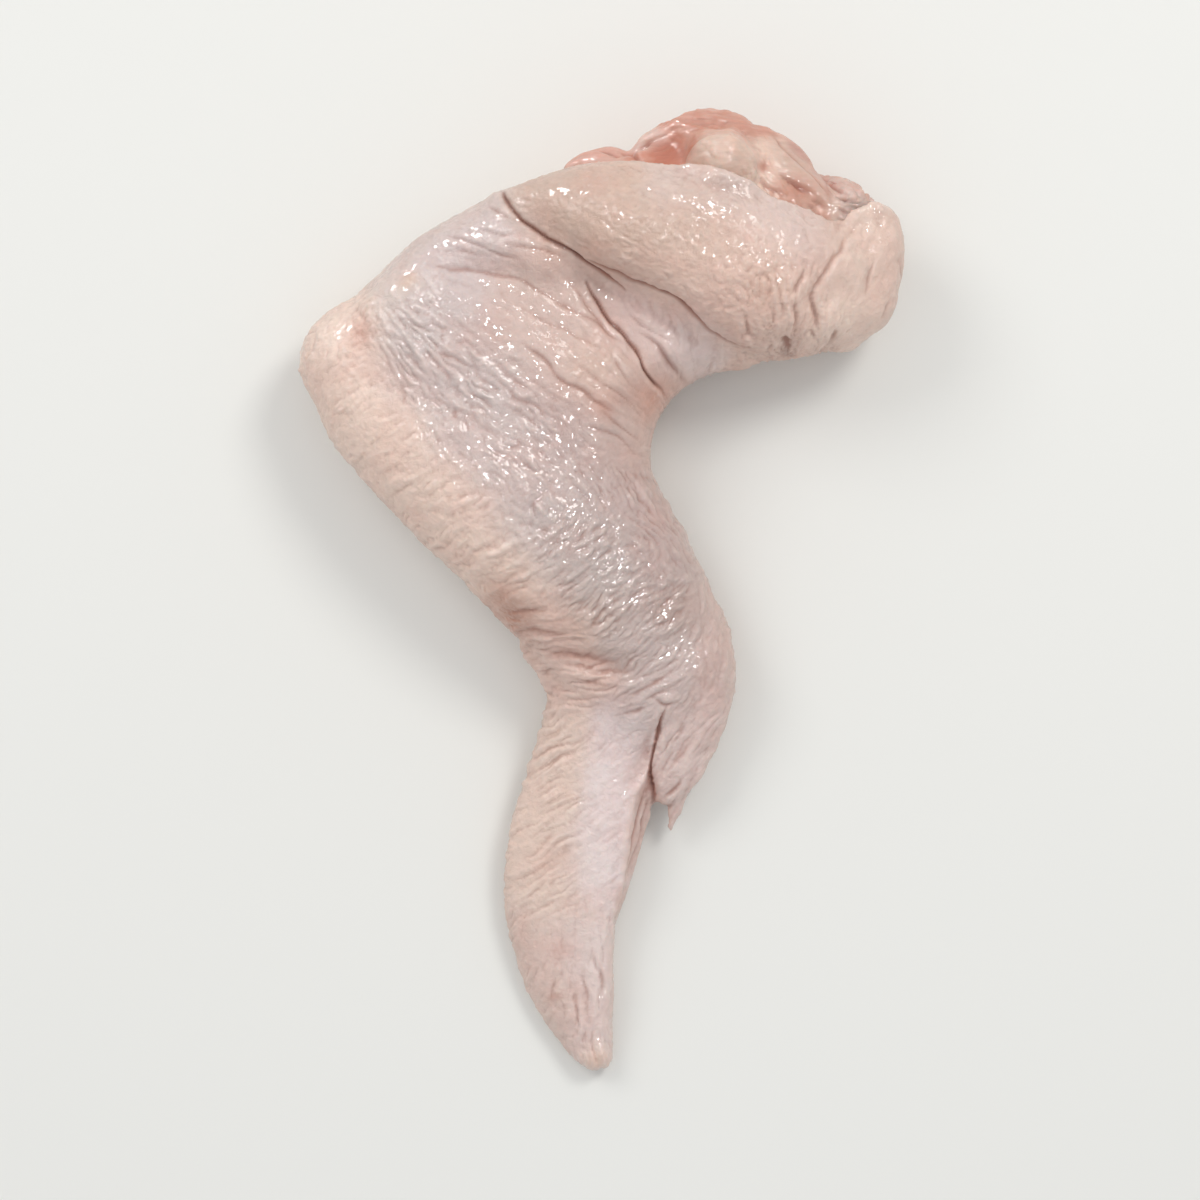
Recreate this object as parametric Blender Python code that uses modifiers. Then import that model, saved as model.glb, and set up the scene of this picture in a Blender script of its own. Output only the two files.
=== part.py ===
"""Raw chicken wing, whole: upper arm, forearm, hand and thumb under one skin, bent at elbow and wrist.

Metres, +Z up. The wing lies on its flattened underside at z = 0, seen from above with the elbow at -X,
the shoulder cut at +X +Y and the hand running down to -Y. The skin-covered wing is one solid. The muscle,
the joint head and the sinew that show at the shoulder cut are solids of their own, seated in its end.
"""

import math

import bmesh
import bpy
import numpy as np

MM = 0.001

# Ends of each form's line, in plan, in millimetres from the middle of the wing.
ELBOW = (-41.6, 40.9)
WRIST = (11.8, -13.5)
HUMERUS_LOW = (-36.3, 43.3)
HUMERUS_MID = (-8.1, 61.9)
DRUM_START = (-16.6, 67.2)
DRUM_END = (47.0, 50.6)
WEB_START = (-34.1, 50.4)
WEB_END = (3.4, 12.2)
HAND_ROOT = (-0.8, -14.8)
HAND_END = (-0.6, -77.5)
THUMB_ROOT = (15.6, -9.0)
THUMB_END = (11.6, -34.0)
CLAW_ROOT = (12.9, -32.5)
CLAW_END = (12.4, -38.2)
FLAP_FOOT = (39.0, 44.6)
FLAP_RIM = (45.6, 63.4)
MUSCLE_START = (1.0, 70.0)
MUSCLE_END = (40.0, 64.0)
JOINT_START = (16.6, 74.0)
JOINT_END = (23.6, 71.2)
SINEW_START = (37.8, 66.4)
SINEW_END = (43.2, 65.4)

# Stations across each form: share of its line, reach of the surface to the left and to the right of that
# line (looking from its start to its end), height of the top and of the underside over the plate, in mm.
FOREARM = (
    (0.00, 12.0, 10.0, 22.5, 0.0),
    (0.10, 15.5, 12.8, 24.5, -1.2),
    (0.30, 20.5, 13.9, 27.0, -1.4),
    (0.52, 22.5, 13.6, 26.4, -1.0),
    (0.69, 21.2, 13.8, 23.6, -0.8),
    (0.84, 18.0, 14.6, 20.0, -0.6),
    (0.97, 14.2, 15.0, 16.6, -0.5),
)
HUMERUS = (
    (0.00, 9.5, 10.0, 21.0, 0.0),
    (0.20, 10.8, 12.0, 22.6, -1.2),
    (0.40, 11.9, 13.0, 24.0, -1.4),
    (0.65, 11.4, 13.0, 26.0, -1.4),
    (0.85, 10.4, 13.0, 27.8, -1.4),
    (1.00, 9.4, 12.0, 28.6, -1.2),
)
DRUMETTE = (
    (0.00, 1.2, 3.0, 22.5, 6.0),
    (0.07, 4.6, 4.6, 26.6, 2.0),
    (0.16, 8.4, 7.0, 30.0, -0.6),
    (0.26, 11.2, 9.6, 32.4, -1.6),
    (0.42, 14.0, 12.2, 34.0, -2.0),
    (0.60, 14.2, 15.2, 33.6, -2.0),
    (0.76, 12.4, 15.0, 31.0, -1.5),
    (0.90, 9.6, 10.8, 26.5, 0.0),
    (1.00, 6.0, 6.0, 22.0, 3.0),
)
WEB = (
    (0.00, 24.0, 16.0, 24.0, 0.0),
    (0.10, 31.0, 18.0, 25.4, -1.2),
    (0.25, 35.5, 20.0, 26.4, -1.4),
    (0.50, 38.0, 21.0, 26.2, -1.0),
    (0.75, 38.5, 20.0, 24.2, 0.5),
    (0.90, 36.0, 17.0, 21.6, 2.5),
    (1.00, 28.0, 14.0, 19.4, 4.0),
)
HAND = (
    (0.00, 9.4, 8.6, 15.0, -0.5),
    (0.12, 8.8, 10.2, 12.6, -0.5),
    (0.26, 8.6, 13.2, 11.0, -0.5),
    (0.40, 7.2, 15.6, 10.0, 0.0),
    (0.50, 5.4, 16.4, 9.2, 0.0),
    (0.62, 3.4, 15.6, 8.4, 0.0),
    (0.75, 2.8, 13.4, 7.6, -0.4),
    (0.88, 2.6, 9.4, 6.8, -0.6),
    (1.00, 2.0, 4.6, 5.8, -0.6),
)
THUMB = (
    (0.00, 7.0, 6.0, 15.0, 0.0),
    (0.20, 8.0, 5.6, 13.6, 0.4),
    (0.50, 7.0, 4.7, 11.8, 1.2),
    (0.75, 4.9, 4.1, 10.0, 2.0),
    (0.94, 2.5, 3.5, 8.5, 2.6),
)
CLAW = (
    (0.00, 1.6, 1.6, 7.4, 3.8),
    (0.50, 1.1, 1.1, 6.2, 3.6),
    (1.00, 0.5, 0.5, 4.6, 3.4),
)
FLAP = (
    (0.00, 5.2, 4.6, 18.0, 1.0),
    (0.30, 8.2, 7.4, 22.5, 0.5),
    (0.60, 9.2, 7.2, 24.0, 2.5),
    (0.90, 8.6, 5.6, 22.5, 8.0),
    (1.00, 7.0, 4.6, 21.0, 10.0),
)
MUSCLE = (
    (0.00, 3.4, 4.0, 23.4, 6.0),
    (0.08, 5.0, 5.4, 24.4, 4.6),
    (0.18, 9.2, 7.0, 25.4, 3.5),
    (0.36, 12.8, 8.0, 27.0, 2.0),
    (0.50, 12.8, 8.4, 27.6, 2.0),
    (0.68, 10.6, 8.2, 26.8, 2.6),
    (0.82, 6.8, 7.4, 24.6, 4.0),
    (1.00, 4.6, 6.0, 22.0, 7.0),
)
JOINT = (
    (0.00, 3.8, 4.2, 29.4, 14.6),
    (0.50, 5.4, 5.8, 31.0, 12.4),
    (1.00, 3.6, 4.0, 29.0, 14.6),
)
SINEW = (
    (0.00, 2.3, 2.5, 22.8, 14.8),
    (0.50, 2.8, 3.0, 23.2, 14.2),
    (1.00, 2.2, 2.4, 21.8, 15.2),
)

# The crook of the elbow: a round gap whose wall stands in furthest at the height of the web's free edge.
CROOK_CENTRE = (22.4, 24.4)
CROOK_RADIUS = 14.2
CROOK_RIM = 10.0
CROOK_FLARE = 0.045
CROOK_HEIGHTS = range(40, -8, -2)

# Folds pressed into the skin: plan points in mm, half width and depth in mm.
FOLDS = (
    (((-16.7, 66.5), (-9.7, 60.0), (-1.0, 53.2), (9.6, 49.6), (17.5, 44.2), (25.5, 40.8)), 2.6, 1.6),
    (((-3.2, 52.9), (0.9, 46.7), (5.5, 41.3), (9.0, 35.3)), 2.4, 2.2),
    (((-27.0, 54.8), (-14.0, 52.8), (-8.0, 49.4), (-2.6, 45.9)), 2.6, 1.2),
    (((-13.5, 48.6), (-6.4, 44.0), (-1.0, 41.2)), 2.6, 1.0),
    (((-10.6, -7.6), (-4.9, -8.9), (3.4, -10.8), (10.0, -10.4)), 1.9, 1.1),
    (((34.2, 39.4), (33.8, 44.6), (35.2, 49.6), (38.6, 54.6)), 2.2, 2.0),
)

STATION_STEPS = 8
DOME_STEPS = 6
SECTION_SIDES = 32
PLUMPNESS = 0.88
WAIST_SHARE = 0.45
VOXEL = 0.9 * MM
MELT_STEPS = 12
SEAT_GAP = 0.3 * MM
PLATE_SIDE = 0.3
TRIANGLES = {"wing": 9800, "shoulder_muscle": 1300, "joint_head": 400, "sinew": 200}

COLOURS = {
    "wing": ((0.72, 0.50, 0.41), 0.34),
    "shoulder_muscle": ((0.62, 0.27, 0.20), 0.28),
    "joint_head": ((0.76, 0.54, 0.45), 0.22),
    "sinew": ((0.68, 0.40, 0.33), 0.26),
}


def smooth_rows(rows, steps):
    """Rows of numbers filled in between by a Catmull-Rom curve through them."""
    rows = np.array(rows, float)
    padded = np.vstack([2 * rows[0] - rows[1], rows, 2 * rows[-1] - rows[-2]])
    found = []
    for a, b, c, d in zip(padded, padded[1:], padded[2:], padded[3:]):
        for t in np.arange(steps) / steps:
            found.append(0.5 * (2 * b + (c - a) * t + (2 * a - 5 * b + 4 * c - d) * t**2
                                + (3 * b - a - 3 * c + d) * t**3))
    return np.array(found + [rows[-1]])


def section(centre, side, reach, heights, swell):
    """One closed section across a form, fuller than an ellipse; `swell` shrinks it towards its middle."""
    left, right = reach
    top, under = heights
    waist = under + WAIST_SHARE * (top - under)
    ring = []
    for k in range(SECTION_SIDES):
        turn = 2 * math.pi * k / SECTION_SIDES
        across = math.copysign(abs(math.cos(turn)) ** PLUMPNESS, math.cos(turn))
        rise = math.copysign(abs(math.sin(turn)) ** PLUMPNESS, math.sin(turn))
        width = left if across > 0 else right
        height = top - waist if rise > 0 else waist - under
        plan = centre + side * width * across * swell
        ring.append((plan[0] * MM, plan[1] * MM, (waist + height * rise * swell) * MM))
    return ring


def limb(name, start, end, stations, start_dome, end_dome):
    """A closed loft along a line, a section at each station, with a dome of the given length at each end."""
    start = np.array(start)
    line = np.array(end) - start
    length = np.linalg.norm(line)
    along = line / length
    side = np.array((-along[1], along[0]))
    rows = smooth_rows(stations, STATION_STEPS)
    turns = [math.pi / 2 * k / DOME_STEPS for k in range(1, DOME_STEPS)]
    rings = [(rows[0], -start_dome * math.sin(t), math.cos(t)) for t in reversed(turns)]
    rings += [(row, 0.0, 1.0) for row in rows]
    rings += [(rows[-1], end_dome * math.sin(t), math.cos(t)) for t in turns]
    mesh = bmesh.new()
    drawn = []
    for (share, left, right, top, under), shift, swell in rings:
        centre = start + line * share + along * shift
        ring = section(centre, side, (left, right), (top, under), swell)
        drawn.append([mesh.verts.new(point) for point in ring])
    for low, high in zip(drawn, drawn[1:]):
        for k in range(SECTION_SIDES):
            j = (k + 1) % SECTION_SIDES
            mesh.faces.new((low[k], low[j], high[j], high[k]))
    mesh.faces.new(reversed(drawn[0]))
    mesh.faces.new(drawn[-1])
    bmesh.ops.recalc_face_normals(mesh, faces=mesh.faces)
    data = bpy.data.meshes.new(name)
    mesh.to_mesh(data)
    mesh.free()
    return bpy.data.objects.new(name, data)


def applied(made):
    """The object with its modifiers applied to its mesh."""
    graph = bpy.context.evaluated_depsgraph_get()
    data = bpy.data.meshes.new_from_object(made.evaluated_get(graph))
    made.modifiers.clear()
    made.data = data
    return made


def fused(name, forms, collection):
    """Several overlapping closed forms melted into one closed skin."""
    mesh = bmesh.new()
    for form in forms:
        mesh.from_mesh(form.data)
        bpy.data.objects.remove(form)
    data = bpy.data.meshes.new(name)
    mesh.to_mesh(data)
    mesh.free()
    made = bpy.data.objects.new(name, data)
    collection.objects.link(made)
    remesh = made.modifiers.new("one_skin", "REMESH")
    remesh.mode = "VOXEL"
    remesh.voxel_size = VOXEL
    melt = made.modifiers.new("melt", "SMOOTH")
    melt.factor = 0.5
    melt.iterations = MELT_STEPS
    return applied(made)


def press_folds(made, folds):
    """Presses each fold into the upward faces of a mesh, as a rounded furrow along its plan line."""
    mesh = made.data
    points = np.empty(len(mesh.vertices) * 3)
    mesh.vertices.foreach_get("co", points)
    points = points.reshape(-1, 3)
    normals = np.empty(len(mesh.vertices) * 3, np.float32)
    mesh.vertices.foreach_get("normal", normals)
    up = np.clip(normals.reshape(-1, 3)[:, 2], 0, 1)
    for line, half_width, depth in folds:
        route = smooth_rows(line, 12) * MM
        away = np.full(len(points), np.inf)
        for spot in route:
            away = np.minimum(away, np.hypot(*(points[:, :2] - spot).T))
        furrow = np.exp(-((away / (half_width * MM)) ** 2))
        ends = np.minimum(*(np.hypot(*(points[:, :2] - route[k]).T) for k in (0, -1)))
        fade = np.clip(ends / (3 * half_width * MM), 0.15, 1)
        points[:, 2] -= depth * MM * furrow * fade * up
    mesh.vertices.foreach_set("co", points.ravel())
    mesh.update()


def thinned(made, triangles):
    """The mesh brought down to about that many triangles, keeping its forms."""
    mesh = made.data
    mesh.calc_loop_triangles()
    decimate = made.modifiers.new("thin", "DECIMATE")
    decimate.ratio = triangles / len(mesh.loop_triangles)
    decimate.use_collapse_triangulate = True
    return applied(made)


def seat_for(piece, cutters):
    """A cutter a little larger than a piece, for the pocket that the piece sits in."""
    cutter = bpy.data.objects.new(piece.name + "_seat", piece.data.copy())
    cutters.objects.link(cutter)
    swell = cutter.modifiers.new("gap", "DISPLACE")
    swell.strength = SEAT_GAP
    swell.mid_level = 0.0
    cutter.hide_render = True
    cutter.display_type = "WIRE"
    return cutter


def cut(made, name, cutter):
    """Takes the cutter's shape out of an object."""
    boolean = made.modifiers.new(name, "BOOLEAN")
    boolean.operation = "DIFFERENCE"
    boolean.solver = "EXACT"
    boolean.object = cutter


def cutter_of(name, mesh, cutters):
    """A cutter object from a mesh in the making, kept out of renders and drawn as wire."""
    data = bpy.data.meshes.new(name)
    mesh.to_mesh(data)
    mesh.free()
    cutter = bpy.data.objects.new(name, data)
    cutters.objects.link(cutter)
    cutter.hide_render = True
    cutter.display_type = "WIRE"
    return cutter


def plate_below(cutters):
    """A block whose top is the plate: what lies under it is pressed flat."""
    mesh = bmesh.new()
    bmesh.ops.create_cube(mesh, size=PLATE_SIDE)
    bmesh.ops.translate(mesh, vec=(0, 0, -PLATE_SIDE / 2), verts=mesh.verts)
    return cutter_of("plate_below", mesh, cutters)


def crook_spool(cutters):
    """A turned spool in the crook of the elbow: the free edge of the skin web curves round it."""
    mesh = bmesh.new()
    profile = [(CROOK_RADIUS + CROOK_FLARE * (z - CROOK_RIM) ** 2, z) for z in CROOK_HEIGHTS]
    profile = [(0, CROOK_HEIGHTS[0])] + profile + [(0, CROOK_HEIGHTS[-1])]
    points = [mesh.verts.new((radius * MM, 0, z * MM)) for radius, z in profile]
    for high, low in zip(points, points[1:]):
        mesh.edges.new((high, low))
    spool = cutter_of("crook", mesh, cutters)
    spool.location = (CROOK_CENTRE[0] * MM, CROOK_CENTRE[1] * MM, 0)
    turn = spool.modifiers.new("turn", "SCREW")
    turn.steps = 64
    turn.render_steps = 64
    turn.use_merge_vertices = True
    turn.merge_threshold = 0.0001
    return spool


def centred(made, cutters):
    """Moves the pieces and their cutters together, so that their common box is centred on the origin."""
    graph = bpy.context.evaluated_depsgraph_get()
    corners = [corner for one in made for corner in one.evaluated_get(graph).bound_box]
    middle = [(min(values) + max(values)) / 2 for values in zip(*corners)]
    for one in list(made) + list(cutters.objects):
        one.location.x -= middle[0]
        one.location.y -= middle[1]


def coated(made):
    """Gives an object its material and smooth shading."""
    colour, roughness = COLOURS[made.name]
    material = bpy.data.materials.new(made.name)
    material.use_nodes = True
    shader = material.node_tree.nodes["Principled BSDF"]
    shader.inputs["Base Color"].default_value = (*colour, 1.0)
    shader.inputs["Roughness"].default_value = roughness
    shader.inputs["Metallic"].default_value = 0.0
    made.data.materials.clear()
    made.data.materials.append(material)
    made.data.shade_smooth()


def skin_covered_wing(collection, cutters):
    """Upper arm, forearm, hand, thumb and the loose skin at the shoulder, under one skin."""
    web = limb("web", WEB_START, WEB_END, WEB, 5.0, 3.0)
    collection.objects.link(web)
    cut(web, "crook", crook_spool(cutters))
    made = fused("wing", [
        applied(web),
        limb("forearm", ELBOW, WRIST, FOREARM, 9.0, 9.0),
        limb("humerus", HUMERUS_LOW, HUMERUS_MID, HUMERUS, 8.0, 6.0),
        limb("drumette", DRUM_START, DRUM_END, DRUMETTE, 2.4, 2.6),
        limb("hand", HAND_ROOT, HAND_END, HAND, 4.0, 2.8),
        limb("thumb", THUMB_ROOT, THUMB_END, THUMB, 6.0, 2.4),
        limb("claw", CLAW_ROOT, CLAW_END, CLAW, 0.5, 0.5),
        limb("flap", FLAP_FOOT, FLAP_RIM, FLAP, 2.6, 3.2),
    ], collection)
    press_folds(made, FOLDS)
    return thinned(made, TRIANGLES["wing"])


def seated(name, line, stations, domes, collection):
    """A piece of the shoulder's inside, made as one small form."""
    made = fused(name, [limb(name, *line, stations, *domes)], collection)
    return thinned(made, TRIANGLES[name])


def main():
    for old in list(bpy.data.objects):
        bpy.data.objects.remove(old, do_unlink=True)
    collection = bpy.data.collections.new("chicken_wing")
    cutters = bpy.data.collections.new("cutters")
    bpy.context.scene.collection.children.link(collection)
    bpy.context.scene.collection.children.link(cutters)
    wing = skin_covered_wing(collection, cutters)
    muscle = seated("shoulder_muscle", (MUSCLE_START, MUSCLE_END), MUSCLE, (6.0, 5.0), collection)
    joint = seated("joint_head", (JOINT_START, JOINT_END), JOINT, (3.0, 3.0), collection)
    sinew = seated("sinew", (SINEW_START, SINEW_END), SINEW, (2.0, 2.0), collection)
    cut(wing, "flat_underside", plate_below(cutters))
    for piece in (muscle, joint, sinew):
        cut(wing, piece.name, seat_for(piece, cutters))
    for piece in (joint, sinew):
        cut(muscle, piece.name, seat_for(piece, cutters))
    for made in collection.objects:
        coated(made)
    centred(collection.objects, cutters)


main()
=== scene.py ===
import itertools
import math

import bmesh
import bpy
import numpy as np
from mathutils import Matrix, Vector


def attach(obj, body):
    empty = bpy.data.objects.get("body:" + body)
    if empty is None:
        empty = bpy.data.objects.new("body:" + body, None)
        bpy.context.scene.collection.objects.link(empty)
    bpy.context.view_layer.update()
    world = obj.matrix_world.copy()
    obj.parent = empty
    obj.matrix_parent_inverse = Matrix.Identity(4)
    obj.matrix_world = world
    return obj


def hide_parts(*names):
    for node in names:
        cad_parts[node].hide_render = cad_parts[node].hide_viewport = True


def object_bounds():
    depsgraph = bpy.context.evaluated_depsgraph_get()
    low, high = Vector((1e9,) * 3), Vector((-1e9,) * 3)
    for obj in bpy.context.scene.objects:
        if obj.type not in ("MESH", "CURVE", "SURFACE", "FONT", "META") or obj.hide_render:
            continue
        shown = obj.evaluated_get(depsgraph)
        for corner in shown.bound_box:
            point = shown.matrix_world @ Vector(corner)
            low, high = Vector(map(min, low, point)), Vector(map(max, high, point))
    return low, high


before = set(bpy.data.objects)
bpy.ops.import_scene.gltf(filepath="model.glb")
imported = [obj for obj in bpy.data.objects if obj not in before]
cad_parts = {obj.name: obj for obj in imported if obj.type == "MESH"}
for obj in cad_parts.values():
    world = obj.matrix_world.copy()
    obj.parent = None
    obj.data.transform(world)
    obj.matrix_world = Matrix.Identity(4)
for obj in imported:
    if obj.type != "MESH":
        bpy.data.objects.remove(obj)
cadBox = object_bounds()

mm = 0.001


def linear(tint):
    # screen colour 0 to 255 as the renderer's own light values
    share = np.array(tint, float) / 255
    return np.where(share <= 0.04045, share / 12.92, ((share + 0.055) / 1.055) ** 2.4)


def noise(space, seed):
    # smooth random waves of about one unit, -1 to 1
    cell = np.floor(space).astype(np.int64)
    local = space - cell
    ease = local ** 3 * (local * (local * 6 - 15) + 10)
    total = np.zeros(len(space))
    for corner in itertools.product((0, 1), repeat=3):
        spot = cell + corner      # its place and the seed, stirred into 32 random bits
        code = spot[:, 0] * 374761393 + spot[:, 1] * 668265263 + spot[:, 2] * 1442695041
        code = (code + seed * 97531) & 0xFFFFFFFF
        code = ((code ^ (code >> 13)) * 1274126177) & 0xFFFFFFFF
        code ^= code >> 16
        lean = [((code >> shift) & 1023) / 511.5 - 1 for shift in (0, 10, 20)]
        away = local - corner
        weight = np.prod(np.where(corner, ease, 1 - ease), axis=1)
        total += weight * sum(lean[k] * away[:, k] for k in range(3))
    return total


def curveThrough(line, steps=6):
    # a smooth line through given points
    rows = np.array(line, float)
    rows = np.vstack([2 * rows[0] - rows[1], rows, 2 * rows[-1] - rows[-2]])
    found = []
    for a, b, c, d in zip(rows, rows[1:], rows[2:], rows[3:]):
        for t in np.arange(steps) / steps:
            found.append(0.5 * (2 * b + (c - a) * t + (2 * a - 5 * b + 4 * c - d) * t ** 2
                                + (3 * b - a - 3 * c + d) * t ** 3))
    return np.array(found + [rows[-2]])


def beside(plan, line):
    # how far each point is from a bent line, how far on its left, how far along it, and its length
    route = curveThrough(line)
    steps = np.hypot(*np.diff(route, axis=0).T)
    before = np.concatenate([[0], np.cumsum(steps)])
    nearest = np.full(len(plan), 1e9)
    side = np.ones(len(plan))
    along = np.zeros(len(plan))
    for a, b, step, start in zip(route, route[1:], steps, before):
        reach = np.clip(((plan - a) @ (b - a)) / step ** 2, 0, 1)
        gap = plan - a - reach[:, None] * (b - a)
        away = np.hypot(gap[:, 0], gap[:, 1])
        nearer = away < nearest
        nearest = np.where(nearer, away, nearest)
        side = np.where(nearer, np.sign((b - a)[0] * gap[:, 1] - (b - a)[1] * gap[:, 0]), side)
        along = np.where(nearer, start + reach * step, along)
    return nearest, nearest * side, along, before[-1]


def pointsOf(mesh):
    flat = np.empty(len(mesh.vertices) * 3, np.float32)
    mesh.vertices.foreach_get("co", flat)
    return flat.reshape(-1, 3).astype(float)


def normalsOf(mesh, points):
    mesh.vertices.foreach_set("co", points.astype(np.float32).ravel())
    mesh.update()
    flat = np.empty(len(mesh.vertices) * 3, np.float32)
    mesh.vertices.foreach_get("normal", flat)
    return flat.reshape(-1, 3).astype(float)


def netOf(mesh):
    # which points are joined to which
    ends = np.empty(len(mesh.edges) * 2, np.int32)
    mesh.edges.foreach_get("vertices", ends)
    ends = ends.reshape(-1, 2)
    first = np.concatenate([ends[:, 0], ends[:, 1]])
    second = np.concatenate([ends[:, 1], ends[:, 0]])
    return first, second, np.maximum(np.bincount(first, minlength=len(mesh.vertices)), 1)


def averaged(values, net, rounds=1):
    first, second, count = net
    for _ in range(rounds):
        sums = [np.bincount(first, values[second, k], len(count)) for k in range(values.shape[1])]
        values = np.stack(sums, 1) / count[:, None]
    return values


def relaxed(points, net, rounds):
    # melts small bumps and keeps the size: each inward step is followed by one outward
    inward, outward = 0.55, 0.57
    for _ in range(rounds):
        points = points + inward * (averaged(points, net) - points)
        points = points - outward * (averaged(points, net) - points)
    return points


def placed(name, data):
    # a new object in the scene
    made = bpy.data.objects.new(name, data)
    bpy.context.scene.collection.objects.link(made)
    return made


def meltedMesh(name, sources, rows, grain):
    # solids and rows of balls (x, y, z, radius in mm) melted into one mesh of even faces
    joined = bmesh.new()
    for source in sources:
        joined.from_mesh(source)
    for row in rows.values():
        for x, y, z, radius in curveThrough(row, steps=8):
            at = Matrix.Translation(Vector((x, y, z)) * mm)
            bmesh.ops.create_icosphere(joined, subdivisions=2, radius=radius * mm, matrix=at)
    rough = bpy.data.meshes.new(name + "_rough")
    joined.to_mesh(rough)
    joined.free()
    holder = placed(name + "_rough", rough)
    remesh = holder.modifiers.new("even", "REMESH")
    remesh.mode = "VOXEL"
    remesh.voxel_size = grain * mm
    graph = bpy.context.evaluated_depsgraph_get()
    even = bpy.data.meshes.new_from_object(holder.evaluated_get(graph))
    bpy.data.objects.remove(holder)
    even.materials.clear()
    even.name = name
    return even


def smoothBody(name, sources, look):
    # the solids melted together, their facets gone, the hollows above the floor spanned
    rough = meltedMesh(name + "_body", sources, look["forms"], look["roughGrain"])
    net = netOf(rough)
    points = relaxed(pointsOf(rough), net, look["calm"])
    normals = averaged(normalsOf(rough, points), net, 2)
    rounds, share = look["stretch"]
    sunk = np.einsum("ij,ij->i", averaged(points, net, rounds) - points, normals)
    above = np.clip(points[:, 2] / mm / 3 - 0.5, 0, 1)
    points += normals * (share * above * averaged(np.clip(sunk, 0, None)[:, None], net, 2)[:, 0])[:, None]
    normalsOf(rough, points)
    mesh = meltedMesh(name, [rough], look["fineForms"], look["grain"] * (1))
    bpy.data.meshes.remove(rough)
    mesh.shade_smooth()
    net = netOf(mesh)
    return mesh, net, relaxed(pointsOf(mesh), net, rounds=9)


def keepNumbers(mesh, name, values):
    made = mesh.attributes.new(name, "FLOAT", "POINT")
    made.data.foreach_set("value", values.astype(np.float32))


def keepVectors(mesh, name, values):
    made = mesh.attributes.new(name, "FLOAT_VECTOR", "POINT")
    made.data.foreach_set("vector", values.astype(np.float32).ravel())


def keepColours(mesh, name, colours):
    made = mesh.color_attributes.new(name, "FLOAT_COLOR", "POINT")
    full = np.hstack([colours, np.ones((len(colours), 1))])
    made.data.foreach_set("color", full.astype(np.float32).ravel())


def wandering(points, reach, wave, seed):
    # points in mm, pushed about a little, so that nothing drawn stays ruler straight
    space = points / wave
    return points + reach * np.stack([noise(space, seed + k) for k in range(3)], 1)


def nearLine(spots, turned, line, margin):
    # which spots lie near a drawn line, how far beside it, and how far they are from its ends
    low, high = np.min(line, 0) - margin, np.max(line, 0) + margin
    near = np.all((spots > low) & (spots < high), axis=1) & (turned > 0)
    away, signed, along, length = beside(spots[near], line)
    return near, away, signed, np.minimum(along, length - along), length


def foldRelief(points, normals, folds, ridges, wander, axes=(0, 1), facing=2):
    # height pressed in or raised along drawn lines, and how much painted shade lies at each crease's bottom
    # axes: the two that the lines are drawn in, facing: the one that looks at them
    shaken = wandering(points, wander, wave=4.0, seed=11)[:, axes]
    turned = np.clip(normals[:, facing] * 1.8 - 0.15, 0, 1)
    height = np.zeros(len(points))
    dark = np.zeros(len(points))
    for fold in folds.values():
        reach = fold.get("reach", 1.0)
        near, away, signed, toEnd, length = nearLine(shaken, turned, fold["line"], 6 * reach)
        fade = np.clip(toEnd / min(4.0, 0.4 * length), 0, 1) ** 0.7 * turned[near]
        groove = np.exp(0.14 - np.sqrt((away / fold["wide"]) ** 2 + 0.02))
        outward = np.clip(signed * np.sign(fold["roll"]) / reach, 0, None)
        roll = abs(fold["roll"]) * outward * np.exp(1 - outward)
        height[near] += fade * (roll - fold["deep"] * groove)
        shade = fold.get("shade", 0.5) * np.exp(-(away / fold.get("soft", 0.4)) ** 2)
        dark[near] = np.maximum(dark[near], fade * shade)
    for ridge in ridges.values():
        near, away, signed, toEnd, length = nearLine(shaken, turned, ridge["line"], 5)
        fade = np.clip(toEnd / 3.0, 0.3, 1) * turned[near]
        height[near] += fade * ridge["high"] * np.exp(-(away / ridge["wide"]) ** 2)
    return height, dark


def patchWeights(plan, patches, contrast):
    # how much of each patch there is at each point
    weights = []
    for patch in patches.values():
        weight = np.zeros(len(plan))
        for x, y, reach in patch["spots"]:
            weight += np.exp(-((plan[:, 0] - x) ** 2 + (plan[:, 1] - y) ** 2) / reach ** 2)
        weights.append(weight ** contrast + 1e-9)
    weights = np.array(weights)
    return weights / weights.sum(axis=0)


def wrinkleSpace(points, patch):
    # along and across the patch's wrinkles, counted in waves
    x, y, z = points.T
    if "fan" in patch:
        middle = np.mean([spot[:2] for spot in patch["spots"]], axis=0) - patch["fan"]
        turn = math.atan2(middle[1], middle[0])
        ahead = (x - patch["fan"][0]) * math.cos(turn) + (y - patch["fan"][1]) * math.sin(turn)
        aside = (y - patch["fan"][1]) * math.cos(turn) - (x - patch["fan"][0]) * math.sin(turn)
        along = np.hypot(ahead, aside)
        across = np.arctan2(aside, ahead) * patch["reach"]
    else:
        turn = math.radians(patch["lie"])
        along = x * math.cos(turn) + y * math.sin(turn)
        across = y * math.cos(turn) - x * math.sin(turn)
    wave, long = patch["wave"], patch["wave"] * patch["stretch"]
    return np.stack([along / long, across / wave, z / (1.3 * long)], 1)


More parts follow.
